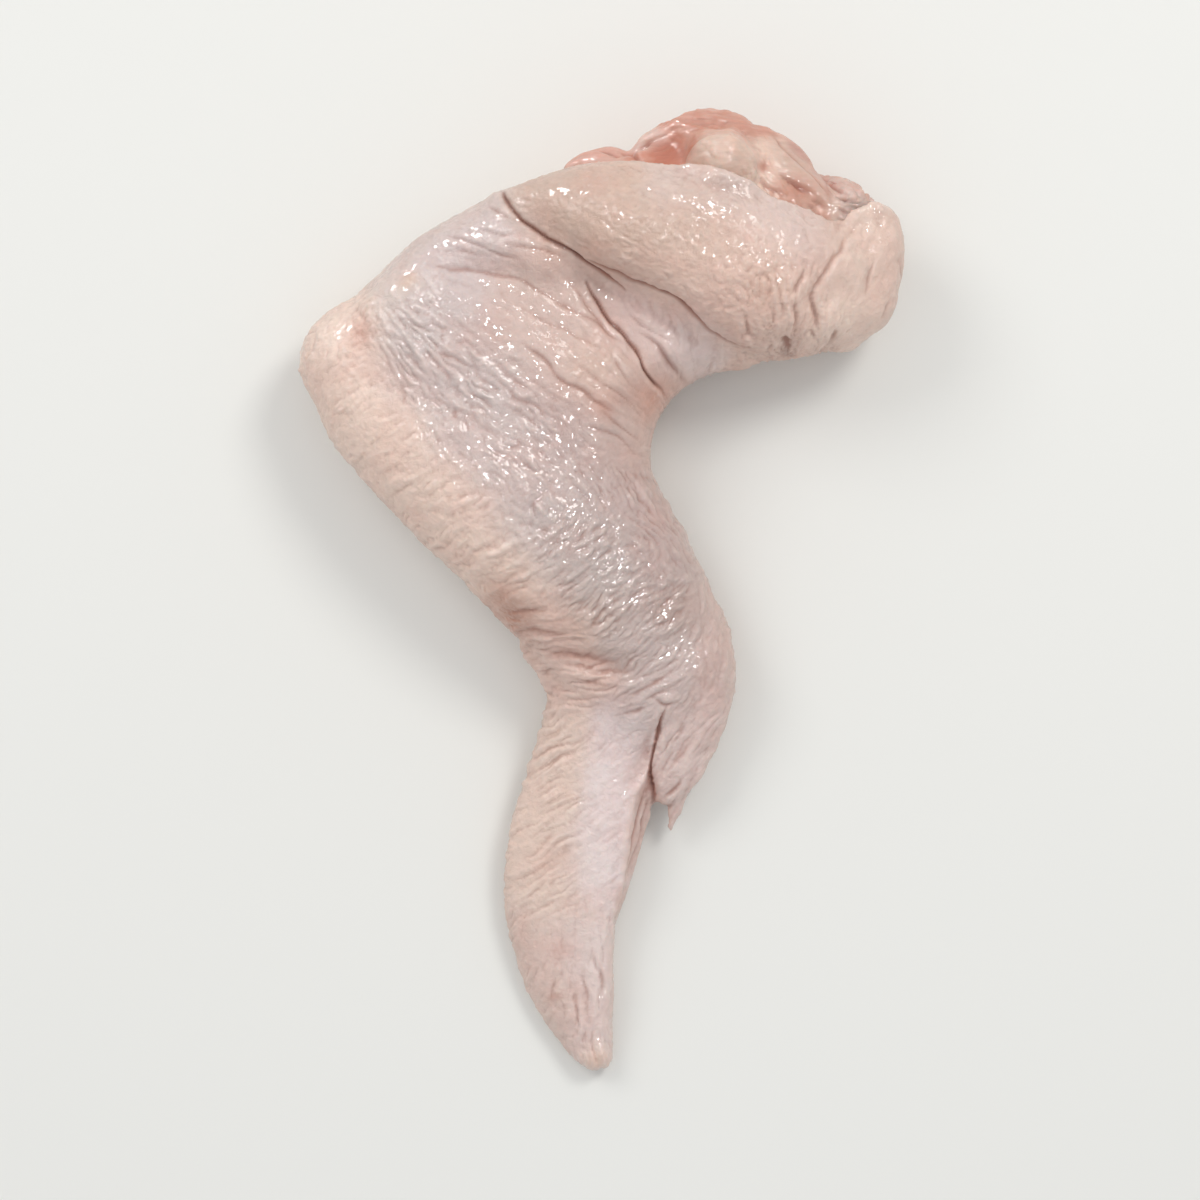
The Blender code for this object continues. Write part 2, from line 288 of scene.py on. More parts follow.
def wrinkleRelief(points, patches, weights):
    # round-backed wrinkles with sharp valleys between them, each patch in its own lie
    shaken = wandering(points, reach=1.0, wave=4.5, seed=31)
    shaken = wandering(shaken, reach=0.3, wave=1.3, seed=37)
    height = np.zeros(len(points))
    for k, (patch, weight) in enumerate(zip(patches.values(), weights)):
        near = weight > 0.02
        space = wrinkleSpace(shaken[near], patch)
        rise = np.zeros(near.sum())
        for octave, (finer, share) in enumerate(((0.45, 0.6), (1.0, 1.0), (1.9, patch.get("fine", 0.75)))):
            wave = noise(space * finer + 7.3 * octave, 100 + 10 * k + octave)
            sharp = np.sqrt(wave ** 2 + 0.001) * 3.1 - 0.75
            rise += share * (sharp + patch.get("soft", 0) * (2.2 * wave - sharp))
        strength = 0.55 + 0.9 * np.clip(0.5 + 1.3 * noise(points[near] / 5.5, 300 + k), 0, 1)
        height[near] += weight[near] * patch["deep"] * strength * rise
    return height


def pebbleRelief(points, pebbles, share):
    # the fine orange peel of plucked skin
    shaken = wandering(points, reach=0.25, wave=1.0, seed=53)
    wave = noise(shaken / pebbles["wave"], 57)
    finer = noise(shaken / pebbles["wave"] * 1.9 + 3.1, 59)
    return share * pebbles["deep"] * ((np.sqrt(wave ** 2 + 0.002) + 0.4 * np.abs(finer)) * 3.1 - 1.1)


def stained(colours, plan, stains, strength):
    # round spots of another colour, strongest at their middle
    for stain in stains.values():
        away = np.hypot(plan[:, 0] - stain["at"][0], plan[:, 1] - stain["at"][1]) / stain["reach"]
        share = (stain["share"] * np.exp(-away ** 2))[:, None] * strength
        colours = colours * (1 - share) + linear(stain["tint"]) * share
    return colours


def hollowness(points, normals, net, rounds, full):
    # 1 at the bottom of a crease, -1 on a sharp back
    sunk = np.einsum("ij,ij->i", averaged(points, net, rounds) - points, normals)
    return np.clip(sunk / full, -1, 1)


# The wing's skin. Every place is in millimetres in plan, x to the right and y up, seen from above.
# folds: drawn line, width and depth of the crease, roll of skin beside it (plus on the line's left, minus
# on its right), reach from the line to the roll's crest, painted shade of its bottom and how wide that is
# (soft).
# endFolds are drawn on the flap's own end, in y and z. ridges stand out, with the same kind of line.
# patches: spots (x, y, reach), how the wrinkles lie (degrees, or the centre of a fan and the reach at which
# its wave is true), wave, how many waves long, depth, soft (0 sharp valleys, 1 round ones), fine (share of
# the smallest wrinkles), pebbled (share of the orange peel), how wet, colour. stains lie on top of them.
# forms, fineForms: rows of balls x, y, z, radius, melted into the body before and after it is smoothed.
skinLook = dict(
    grain=0.29,           # spacing of the mesh, mm
    roughGrain=0.7,       # spacing of the mesh that the body is melted on, mm
    calm=11,              # rounds of relaxing that melt the solid's facets
    stretch=(78, 0.85),   # how widely and how fully the skin spans the hollows under it
    wander=0.5,           # how far folds wander off their drawn lines, mm
    pebbles=dict(wave=1, deep=0.07),
    underside=1.4,        # skin below this height lies flat on the floor, mm
    # tints of blood and painted shade in creases, painted shade at the deepest fold bottoms, blood clouds,
    # and the painted highlight on wrinkle backs
    bloodAndShadeTint=(150, 92, 74),
    deepShadeTint=(104, 68, 54),
    blushTint=(205, 150, 135),
    ridgeHighlightTint=(236, 218, 208),
    walls=dict(tint=(212, 186, 173), share=0.5, rounds=20, fade=0.7),   # upright sides, and stains on them
    # depths at which the painted shade in creases and in valleys is full
    creaseDepth=0.2,      # of a full crease, mm
    valleyDepth=0.9,      # of a full valley between folds, mm
    film=dict(rounds=5, cling=0.6, shiver=0.16, roughness=0.06),        # the water on it
    sheer=dict(weight=0.14, radius=(1, 0.42, 0.28), scale=0.0008),    # the light that enters it
    folds={
        "under the upper arm": dict(wide=0.32, deep=0.7, roll=0.5, reach=1.4, shade=1, soft=0.3, line=(
            (-17.6, 70), (-16.4, 67.8), (-15.2, 65.3), (-14, 63.8), (-12.2, 61.9), (-10, 60.2),
            (-8, 58.8), (-5, 57), (-3, 55.6), (-1.5, 54.6), (0.5, 53.4), (2, 52.4), (3.2, 51.5),
            (4.3, 50.2))),
        "edge of the upper arm": dict(wide=0.32, deep=0.7, roll=0.6, reach=1.6, shade=1, soft=0.3, line=(
            (-2.4, 55.8), (0, 54.8), (2.5, 53.7), (5, 52.4), (7, 51.5), (10, 50.4), (12, 49.2),
            (14, 47.5), (16, 45.8), (18.5, 43.8), (21.5, 42.4), (25, 41.2), (28, 40.4))),
        "web, main": dict(wide=0.26, deep=0.8, roll=-0.25, reach=0.8, shade=1, soft=0.28, line=(
            (-2.6, 52.6), (-1.4, 50.4), (-0.4, 49), (0.6, 47.4), (1.6, 46), (2.8, 44.8), (4, 43.6),
            (5, 42.3), (6, 41), (6.8, 39.6), (7.5, 38), (8.4, 36.6), (9.8, 35), (11.5, 33.4))),
        "web, beside main": dict(wide=0.32, deep=0.24, roll=-0.2, reach=0.9, shade=0.3, line=(
            (-5.8, 53), (-4.6, 51.8), (-3.2, 50), (-2.2, 48.4), (-1, 46.8), (0.4, 45.2), (2, 43.7),
            (3.6, 42.6), (5.4, 41))),
        "web, long": dict(wide=0.4, deep=0.23, roll=-0.2, reach=1.2, shade=0.3, line=(
            (-28.5, 55.4), (-25, 54.7), (-20, 53.9), (-16, 53.2), (-14, 52.8), (-12, 51.9), (-10, 50.7),
            (-8, 49.5), (-6, 48.3), (-4, 47.2), (-1.5, 46.1), (1, 44.4), (3, 42.6))),
        "web, middle": dict(wide=0.56, deep=0.18, roll=-0.15, reach=1.6, shade=0.21, line=(
            (-14, 48.4), (-12, 47.5), (-10, 46.2), (-8, 45.2), (-6, 44.4), (-4, 43.3), (-2, 42.4),
            (0, 41.5), (3, 39.4))),
        "web, steep": dict(wide=0.4, deep=0.3, roll=0.25, reach=1.2, shade=0.36, line=(
            (-13.5, 42.4), (-11.5, 41.2), (-10, 40.1), (-8.8, 38.9), (-7.7, 37.5), (-6.5, 36.2),
            (-5, 35.2), (-2.4, 34), (-1, 32.9), (0.4, 32), (1.6, 31.1), (3.4, 30.1))),
        "web, lowest": dict(wide=0.4, deep=0.24, roll=0.2, shade=0.3, line=(
            (-0.4, 32.2), (1, 30.5), (2.8, 29), (4.5, 27.8), (6.6, 26.6))),
        "web, under the lowest": dict(wide=0.48, deep=0.21, roll=0.25, shade=0.21, line=(
            (-3, 28.6), (1.5, 27.6), (3.5, 26.6), (5, 25.2), (6.4, 23.6))),
        "web, at its corner": dict(wide=0.48, deep=0.48, roll=0.3, shade=0.48, soft=0.9, line=(
            (6, 44.2), (7.3, 43.4), (8.6, 42.6), (9.8, 41.4), (10.8, 39.9), (12.8, 37.8), (14.5, 36))),
        "web, fine": dict(wide=0.32, deep=0.21, roll=0.2, reach=0.7, shade=0.24, line=(
            (1.2, 41.4), (2.2, 40.2), (3.4, 38), (4.4, 36.2), (5.4, 34.6))),
        "web, fine low": dict(wide=0.4, deep=0.18, roll=0.2, reach=0.8, shade=0.15, line=(
            (-6, 40.5), (-3, 38.2), (0, 36), (3.5, 33.6), (6.5, 31.5))),
        "web, fine high": dict(wide=0.36, deep=0.18, roll=0.2, reach=0.8, shade=0.18, line=(
            (4.5, 47.4), (7, 44.9), (9.4, 43.8), (12.5, 41.8))),
        "elbow top, first": dict(wide=0.4, deep=0.3, roll=0.3, shade=0.3, line=(
            (-19.4, 66.2), (-18.8, 65.6), (-17.4, 64.3), (-16, 63.2), (-14.5, 62.5), (-12.2, 61.9))),
        "elbow top, second": dict(wide=0.48, deep=0.24, roll=0.2, shade=0.21, line=(
            (-21.5, 61.4), (-18.5, 60.4), (-16.2, 59.7), (-13.5, 60))),
        "elbow top, third": dict(wide=0.4, deep=0.27, roll=0.25, shade=0.24, line=(
            (-26, 60.4), (-22, 58.9), (-19.6, 58), (-17.5, 57), (-16, 56.3), (-13, 55.7))),
        "elbow top, fourth": dict(wide=0.4, deep=0.24, roll=0.2, shade=0.24, line=(
            (-16.2, 58.5), (-12.8, 57.9), (-9.6, 57.3), (-7.6, 56.6), (-5.4, 56))),
        "elbow top, fifth": dict(wide=0.4, deep=0.18, roll=0.2, shade=0.18, line=(
            (-26, 57.7), (-22.5, 57.2), (-20, 56.6), (-17.5, 56.4))),
        "beside the elbow bone": dict(wide=1.3, deep=0.4, roll=0.05, shade=0.2, line=(
            (-41.8, 49.6), (-39.6, 46.9), (-39.8, 42.6))),
        "wrist, outer": dict(wide=1, deep=0.5, roll=0.15, reach=1.8, shade=0.35, soft=1.1, line=(
            (-18.4, -2.2), (-14, -2), (-10.6, -1.8), (-7.6, -2))),
        "wrist, second": dict(wide=0.8, deep=0.5, roll=0.15, reach=1.4, shade=0.4, soft=0.8, line=(
            (-15.4, -4.6), (-12, -4.9), (-9, -5.4), (-5, -6.4))),
        "wrist, third": dict(wide=0.5, deep=0.3, roll=0.2, shade=0.3, line=(
            (-13.4, -7.6), (-11.6, -7), (-9.4, -7.4))),
        "wrist, deepest": dict(wide=0.9, deep=0.6, roll=-0.15, reach=1.8, shade=0.45, soft=1.2, line=(
            (-10.8, -8.6), (-7, -9.2), (-3, -9.5), (0, -10.1), (3.4, -10.6))),
        "wrist, under the deepest": dict(wide=0.5, deep=0.4, roll=-0.15, shade=0.4, soft=0.6, line=(
            (-6.4, -10.7), (-3, -11.1), (1, -11.7), (5.4, -12.2))),
        "wrist, low left": dict(wide=0.6, deep=0.2, roll=0.1, shade=0.12, line=(
            (-10, -13.2), (-8.4, -11.9), (-6.2, -11.2))),
        "wrist, soft": dict(wide=0.7, deep=0.35, roll=-0.1, shade=0.3, soft=0.8, line=(
            (-4, -13.4), (0, -14.1), (3.4, -14.2))),
        "wrist, rising": dict(wide=0.4, deep=0.3, roll=0.15, reach=0.7, shade=0.35, line=(
            (4.2, -16), (6.4, -15.1), (8.8, -13.9), (11.2, -12.4), (13.2, -10.8))),
        "wrist, rising second": dict(wide=0.35, deep=0.25, roll=0.15, reach=0.6, shade=0.25, line=(
            (6.2, -17.6), (9, -15.8), (12, -14.2), (14.8, -12.8))),
        "wrist, rising third": dict(wide=0.35, deep=0.25, roll=0.15, reach=0.6, shade=0.2, line=(
            (5.6, -13.2), (8.6, -12.2), (11.6, -10.8), (14.6, -9))),
        "wrist, rising low": dict(wide=0.45, deep=0.3, roll=0.15, reach=0.8, shade=0.3, line=(
            (1.4, -19.6), (4.4, -19), (7.4, -18.2), (9.2, -17.4))),
        "over the cleft": dict(wide=0.4, deep=0.38, roll=0.2, reach=0.8, shade=0.4, line=(
            (8.4, -16), (9.4, -16.8), (10.4, -17.5), (11.8, -17.6), (13.4, -17.2))),
        "cleft of the thumb": dict(wide=0.32, deep=0.7, roll=0.25, reach=0.7, shade=1, soft=0.3, line=(
            (11.2, -17.6), (10.6, -19.2), (10, -21.2), (9.5, -23.4), (9.1, -25.4), (8.7, -27), (8.6, -29),
            (8.8, -31), (9, -33), (9, -35))),
        "thumb, first": dict(wide=0.4, deep=0.17, roll=0.2, reach=0.8, shade=0.3, line=(
            (14.8, -20.2), (13.2, -22.6), (12, -24), (11, -25.2))),
        "thumb, second": dict(wide=0.4, deep=0.17, roll=0.2, reach=0.8, shade=0.3, line=(
            (15, -24), (13.6, -26.2), (12.2, -28), (11, -29.8))),
        "thumb, third": dict(wide=0.4, deep=0.22, roll=0.15, reach=0.6, shade=0.25, line=(
            (12.8, -25.2), (11, -27.8), (10.2, -29.8))),
        "thumb, fourth": dict(wide=0.4, deep=0.28, roll=0.2, reach=0.8, shade=0.4, line=(
            (14.2, -29.6), (12.6, -32), (11.2, -33), (10, -33.9))),
        "thumb, fifth": dict(wide=0.5, deep=0.2, roll=0.15, reach=0.8, shade=0.2, line=(
            (17.2, -27.6), (16.4, -29), (15, -31.4), (13.9, -33.2))),
        "hand, side wall": dict(wide=0.35, deep=0.35, roll=-0.2, reach=0.6, shade=0.4, line=(
            (7.6, -31.6), (6.9, -34.4), (6, -38), (5, -42), (4.2, -46), (3.4, -50))),
        "hand, side wall low": dict(wide=0.3, deep=0.3, roll=-0.15, reach=0.6, shade=0.3, line=(
            (8.5, -33), (7.8, -36), (6.8, -39.6), (5.4, -44.4), (4.2, -49))),
        "hand, low left": dict(wide=0.48, deep=0.2, roll=0.2, shade=0.1, line=(
            (-7.2, -62.6), (-8, -65), (-8.2, -67.4), (-7.4, -69))),
        "hand, low second": dict(wide=0.32, deep=0.17, roll=0.2, reach=0.6, shade=0.1, line=(
            (-6.8, -67.2), (-6.2, -69), (-6.3, -71.4))),
        "hand, low middle": dict(wide=0.56, deep=0.2, roll=0.25, shade=0.1, line=(
            (-4.6, -64.8), (-4, -69.6), (-4.6, -73), (-4.8, -75.6))),
        "hand, low right": dict(wide=0.48, deep=0.17, roll=0.25, shade=0.1, line=(
            (-2.8, -61.7), (-2.4, -66), (-2.3, -70.6))),
        "hand, lowest right": dict(wide=0.4, deep=0.2, roll=0.2, line=(
            (0.1, -60.7), (0.4, -63.7), (0.3, -67.4))),
        "upper arm, by the web": dict(wide=0.4, deep=0.25, roll=-0.3, shade=0.25, line=(
            (22.6, 48), (23.4, 46.4), (24.2, 44.2), (26.4, 42.3), (29, 41.4))),
        "upper arm, first": dict(wide=0.48, deep=0.2, roll=0.2, shade=0.15, line=(
            (27.2, 51), (28.4, 48.2), (28.5, 46.3), (27.5, 44.2))),
        "upper arm, second": dict(wide=0.48, deep=0.17, roll=0.2, shade=0.15, line=(
            (29.6, 50.2), (29.8, 47.4), (29.2, 45))),
        "upper arm, third": dict(wide=0.56, deep=0.35, roll=0.35, reach=1.1, shade=0.25, line=(
            (33.4, 54.6), (32.6, 52.2), (32, 50), (31.8, 48), (32, 45), (32, 42.2))),
        "flap, inner edge": dict(wide=0.4, deep=0.3, roll=0.5, reach=1.2, shade=0.23, line=(
            (40.4, 60.6), (39.8, 57.8), (38.4, 56), (37.4, 54.2), (36, 52.4), (35, 51.2), (34.7, 50),
            (34.9, 48), (35.5, 45.5), (36.3, 42.8))),
        "flap, inner rib": dict(wide=0.9, deep=0.4, roll=-0.25, reach=1.3, shade=0.2, line=(
            (45.3, 57), (44.9, 54.4), (43.9, 51), (43.6, 48.6))),
        "flap, outer rib": dict(wide=0.7, deep=0.4, roll=-0.2, shade=0.35, line=(
            (48.4, 50.4), (47.6, 48.4), (47, 46.6), (46.4, 44.6))),
        "flap, at its foot": dict(wide=0.7, deep=0.7, roll=0.3, shade=0.8, line=(
            (38.9, 44.6), (38.8, 43.2), (38.2, 41.4))),
        "flap, foot left": dict(wide=0.4, deep=0.4, roll=0.2, shade=0.4, line=(
            (34.4, 44.4), (35.4, 43.2), (36.6, 42.2))),
        "hole by the flap": dict(wide=0.7, deep=1.8, roll=0.01, shade=1, line=(
            (29.8, 42.8), (30.8, 42), (31.8, 40.4))),
    },
    endFolds={            # on the flap's own end, y and z
        "flap's end, first": dict(wide=0.7, deep=0.35, roll=0.3, reach=1.6, shade=0.12, line=(
            (62, 18), (58.6, 14.6), (57, 9), (57.6, 4))),
        "flap's end, second": dict(wide=0.7, deep=0.3, roll=0.3, reach=1.6, shade=0.1, line=(
            (57, 20), (53.5, 15.6), (51.6, 11), (50.4, 9))),
        "flap's end, third": dict(wide=0.6, deep=0.25, roll=0.2, shade=0.1, line=(
            (54.6, 9), (54, 6), (52, 3))),
    },
    ridges={
        "cut edge of the skin": dict(wide=0.9, high=0.45, line=(
            (-4.6, 71.2), (3, 71.4), (8.4, 71.4), (13.5, 71.1), (17.3, 70.4), (21.2, 69.2), (24.2, 67.8),
            (26.3, 66.5), (29.3, 64.9), (32.6, 64.4), (36, 63.2), (38.4, 62))),
        "edge of the hand": dict(wide=0.8, high=0.7, line=(
            (9.4, -21), (9, -25), (8.2, -28), (7, -30.4), (5.9, -32.8), (4.9, -35.4), (4.4, -38.5),
            (4.1, -42), (3.6, -47), (3.1, -51.5), (2.2, -55))),
        "edge of the thumb": dict(wide=0.7, high=0.35, line=(
            (20.4, -23.4), (19.4, -25.6), (17.8, -28.4), (16.2, -31), (14.8, -33))),
        "rim of the flap": dict(wide=1, high=0.4, line=(
            (42, 64.6), (45.5, 65.2), (48, 62.5), (49.2, 58), (48.9, 53.4), (47.8, 49.6))),
        "elbow bone": dict(wide=2.4, high=0.4, line=((-36.6, 51.8), (-33.4, 50.6), (-30.6, 49.2))),
    },
    patches={
        "elbow": dict(
            spots=((-45, 38, 5), (-43, 44, 5), (-39, 49, 4)), lie=40, wave=1.8, stretch=1.5, deep=0.16,
            pebbled=1.3, wet=0.4, tint=(236, 212, 198)),
        "elbow gristle": dict(
            spots=((-35, 51.6, 2.6), (-32, 49.8, 2.6), (-29, 50, 2)), lie=-40, wave=1.6, stretch=2.6,
            deep=0.08, wet=1, tint=(214, 196, 190)),
        "flat by the elbow": dict(
            spots=((-31, 46, 6), (-25, 38, 7), (-18, 29, 8), (-9, 19, 8)), fan=(-60, 70), reach=50,
            wave=1.35, stretch=3.6, deep=0.28, wet=1, tint=(203, 186, 181)),
        "flat, leading side": dict(
            spots=((-4, 26, 6), (2, 17, 6), (8, 7, 5)), lie=-50, wave=1.5, stretch=3.6, deep=0.28,
            wet=0.8, tint=(192, 168, 162)),
        "flat by the wrist": dict(
            spots=((-4, 10, 7), (2, 3, 7), (8, -3, 6)), lie=40, wave=1.3, stretch=3.4, deep=0.26, wet=1,
            tint=(193, 177, 171)),
        "trailing edge": dict(
            spots=((-43, 32, 6), (-37, 24, 7), (-31, 16, 7), (-23, 8, 7), (-16, 1, 6)), lie=30, wave=2.4,
            stretch=3.2, deep=0.3, pebbled=1.3, wet=0.25, soft=0.3, fine=0.6, tint=(235, 209, 194)),
        "elbow top": dict(
            spots=((-33, 55, 5), (-27, 58, 6), (-20, 63, 6), (-23, 52, 5)), lie=-16, wave=2,
            stretch=4.5, deep=0.11, wet=0.6, tint=(207, 189, 185)),
        "web": dict(
            spots=((-12, 49, 6), (-5, 43, 7), (3, 36, 7), (-3, 53, 4), (8, 33, 5), (2, 25, 5)),
            fan=(18, 23), reach=22, wave=1.5, stretch=6, deep=0.12, wet=0.45, pebbled=0.5,
            tint=(212, 186, 176)),
        # its own grey-mauve, painted lighter to make up for the shade of the trough under the upper arm
        "web, grey": dict(
            spots=((6, 47, 4), (12, 44, 4), (17, 41, 3)), fan=(18, 23), reach=22, wave=1.6, stretch=4,
            deep=0.13, wet=0.7, pebbled=0.6, tint=(230, 210, 205)),
        "upper arm, left": dict(
            spots=((-11, 66, 4), (-6, 66, 5)), lie=-24, wave=1, stretch=2.6, deep=0.1, wet=0.3,
            tint=(197, 170, 155)),
        "upper arm": dict(
            spots=((0, 63, 8), (10, 60, 8), (18, 62, 6)), lie=-28, wave=1.1, stretch=2.6, deep=0.13,
            wet=0.6, tint=(207, 179, 163)),
        "upper arm, low": dict(
            spots=((14, 52, 6), (22, 50, 6), (28, 56, 6), (26, 48, 5)), fan=(31, 38), reach=14, wave=1.6,
            stretch=2.2, deep=0.2, wet=0.3, tint=(230, 199, 184)),
        "upper arm, thin skin": dict(
            spots=((12, 68, 4), (20, 66, 4), (27, 62, 4), (33, 60, 4)), lie=-30, wave=1, stretch=3.4,
            deep=0.16, wet=0.9, tint=(214, 193, 186)),
        # painted lighter than the flap, to make up for the shade on its downward side
        "flap, low": dict(
            spots=((41, 45, 4), (44, 47, 3)), fan=(36, 38), reach=14, wave=2, stretch=4, deep=0.2,
            wet=0.3, tint=(250, 224, 208)),
        "flap": dict(
            spots=((42, 58, 6), (45, 52, 6)), fan=(36, 38), reach=14, wave=2.2, stretch=4.5, deep=0.18,
            wet=0.3, pebbled=0.6, tint=(223, 197, 183)),
        "wrist, outer": dict(
            spots=((-13, -5, 4), (-8, -8, 4), (-4, -12, 4), (-6, -16, 3)), lie=4, wave=1.6, stretch=5,
            deep=0.26, wet=0.3, tint=(221, 192, 180)),
        "wrist, inner": dict(
            spots=((7, -8, 4), (10, -13, 4), (6, -17, 3), (14, -12, 3)), lie=34, wave=1, stretch=5,
            deep=0.2, wet=0.9, tint=(204, 184, 178)),
        "thumb": dict(
            spots=((14, -20, 5), (12.5, -28, 5), (17, -22, 4)), lie=54, wave=1.4, stretch=6, deep=0.26,
            soft=0.15, wet=0.4, tint=(215, 192, 185)),
        "thumb side": dict(
            spots=((19, -4, 4), (20, -12, 4)), lie=82, wave=1.4, stretch=3.4, deep=0.2, wet=0.5,
            tint=(205, 181, 173)),
        "hand, outer": dict(
            spots=((-9, -23, 5), (-11, -32, 6), (-12, -41, 6), (-10, -49, 6)), lie=30, wave=1.5,
            stretch=8, deep=0.34, wet=0.35, soft=0.25, fine=0.6, tint=(226, 201, 187)),
        "hand, smooth": dict(
            spots=((3, -23, 4), (2, -30, 4), (0.5, -38, 4), (0, -46, 4)), lie=38, wave=2, stretch=4,
            deep=0.14, wet=0.5, soft=0.3, tint=(233, 217, 214)),
        "hand, outer low": dict(
            spots=((-12, -56, 5), (-10, -63, 4), (-7, -71, 4)), lie=62, wave=1.8, stretch=4, deep=0.22,
            wet=0.3, soft=0.2, tint=(219, 195, 184)),
        "hand, low": dict(
            spots=((-4, -58, 5), (-1, -64, 4), (-1, -72, 4)), lie=-84, wave=1.7, stretch=5, deep=0.3,
            wet=0.5, soft=0.2, tint=(226, 207, 201)),
        "hand, side": dict(
            spots=((8.2, -34, 1.8), (6.8, -39, 1.8), (5.4, -44, 1.6), (4.2, -50, 1.4)), lie=78, wave=1.1,
            stretch=6, deep=0.2, wet=0.3, tint=(210, 184, 175)),
    },
    stains={
        "red by the elbow": dict(at=(-39.9, 43.8), reach=2.6, tint=(205, 150, 130), share=0.55),
        "elbow gristle": dict(at=(-33.8, 50.6), reach=3.4, tint=(212, 198, 189), share=0.5),
        "elbow gristle, warm": dict(at=(-31.6, 52.2), reach=1.6, tint=(216, 178, 150), share=0.5),
        # reddened skin, and painted shade in the web's corner
        "corner of the web": dict(at=(9.5, 33), reach=4.4, tint=(206, 144, 120), share=0.7),
        "web, reddened": dict(at=(0.4, 31.8), reach=2.4, tint=(196, 138, 118), share=0.5),
        "web, warm": dict(at=(-1, 38), reach=5, tint=(208, 176, 156), share=0.4),
        "under the upper arm, warm": dict(at=(0, 56.6), reach=3.4, tint=(200, 148, 128), share=0.35),
        # painted shade in the hole
        "hole by the flap": dict(at=(31.2, 41.4), reach=1, tint=(110, 66, 52), share=0.85),
        # painted shade at the flap's foot
        "foot of the flap": dict(at=(38, 41.4), reach=0.9, tint=(120, 76, 60), share=0.7),
        "hand, red": dict(at=(-6.4, -59.2), reach=2.8, tint=(200, 150, 136), share=0.4),
        "hand, red low": dict(at=(-3.9, -66.5), reach=2.6, tint=(200, 150, 136), share=0.3),
        "hand, red spot": dict(at=(-8, -66.8), reach=1, tint=(186, 130, 112), share=0.5),
        "hand tip": dict(at=(-0.6, -78.2), reach=2.6, tint=(230, 194, 170), share=0.6),
        # painted shade on the low trailing edge, which faces down
        "trailing edge, low": dict(at=(-16.5, -3.6), reach=5.5, tint=(170, 114, 92), share=0.9),
        # painted shade on the low leading edge
        "leading edge, low": dict(at=(12.2, -1.2), reach=4.5, tint=(172, 136, 124), share=0.5),
        "upper arm, right": dict(at=(26.6, 51.6), reach=4.2, tint=(206, 168, 150), share=0.45),
        # painted shade in the middle of the wrist
        "wrist, middle": dict(at=(3.4, -11.2), reach=3.5, tint=(176, 142, 128), share=0.35),
        "wrist, warm": dict(at=(-3, -3.5), reach=5, tint=(206, 174, 154), share=0.4),
    },
    forms={
        "thumb end": (
            (15.4, -24, 6.8, 4.3), (14.2, -27.5, 6.6, 4.1), (12.8, -30.6, 6.2, 3.5), (12, -32, 6, 2.9)),
        "thumb, inner side": (
            (12.2, -20.5, 9.4, 3.2), (11.6, -24.5, 8.6, 3), (11.3, -28.5, 7.8, 2.6),
            (11.4, -31.8, 7, 2.4), (10.9, -33, 6.4, 1.8)),
        "side of the hand": (
            (7.2, -28, 5.6, 2.4), (7.1, -32, 5.2, 2.4), (6.6, -36, 4.6, 2.3), (5.4, -40.4, 4, 2.2),
            (4.1, -45, 3.4, 2.1), (2.8, -50, 2.8, 1.9), (1.3, -55.5, 2.4, 1.6)),
        "outer edge of the hand": (
            (-12.6, -34.5, 2.6, 1.9), (-13.5, -41, 2.6, 2.5), (-14.1, -48, 2.6, 2.6),
            (-13.8, -54, 2.5, 2.5), (-12.5, -60, 2.3, 2.3), (-10.8, -65.5, 2.2, 2.2),
            (-8.1, -70.5, 2, 2), (-5.2, -74.8, 1.9, 1.9), (-2.1, -78.2, 1.8, 1.8)),
        "tip of the hand": ((0.2, -68, 2.2, 2.2), (0.4, -73, 2.1, 2.1), (0.6, -77.9, 1.9, 1.9)),
        "outer wrist": ((-10.2, -7.6, 10, 3.4), (-8, -12, 9.6, 2.9), (-6.7, -15.8, 8.4, 2.4)),
        "inner corner of the flap": (
            (39.9, 62, 20.2, 2.2), (42.4, 63, 20.4, 2.3), (45.4, 64, 19.8, 2.2)),
        "skin over the joint": (
            (12, 69.8, 27, 1.6), (16, 69.2, 28.4, 2), (20, 68.2, 28.8, 2.2), (23.6, 66.8, 28.2, 2),
            (26.6, 65.4, 27.2, 1.6)),
    },
    fineForms={
        "claw": (
            (13, -33.2, 5.8, 1.9), (12.9, -35, 5.4, 1.5), (12.5, -36.8, 5, 1),
            (12.05, -38.8, 4.4, 0.45)),
    },
)


def paint(mesh, net, points, normals, plan, upright, tintShares, shares, look):
    # colour and wetness of the patches, upright sides leaning to their own tint, stains on top, some of them
    # painted shade
    patches = look["patches"].values()
    walls = look["walls"]
    tints = tintShares.T @ np.array([linear(patch["tint"]) for patch in patches])
    tints += (linear(walls["tint"]) - tints) * averaged(upright, net, walls["rounds"]) * walls["share"]
    keepColours(mesh, "tint", stained(tints, plan, look["stains"], 1 - walls["fade"] * upright))
    keepNumbers(mesh, "wet", shares.T @ np.array([patch["wet"] for patch in patches]))
    # how hollow each point is: the creases take painted shade, and on the skin the sharp backs take a
    # painted highlight
    creases = hollowness(points, normals, net, rounds=12, full=look["creaseDepth"] * mm)
    keepNumbers(mesh, "crease", creases)
    keepVectors(mesh, "film", averaged(normals, net, look["film"]["rounds"]))


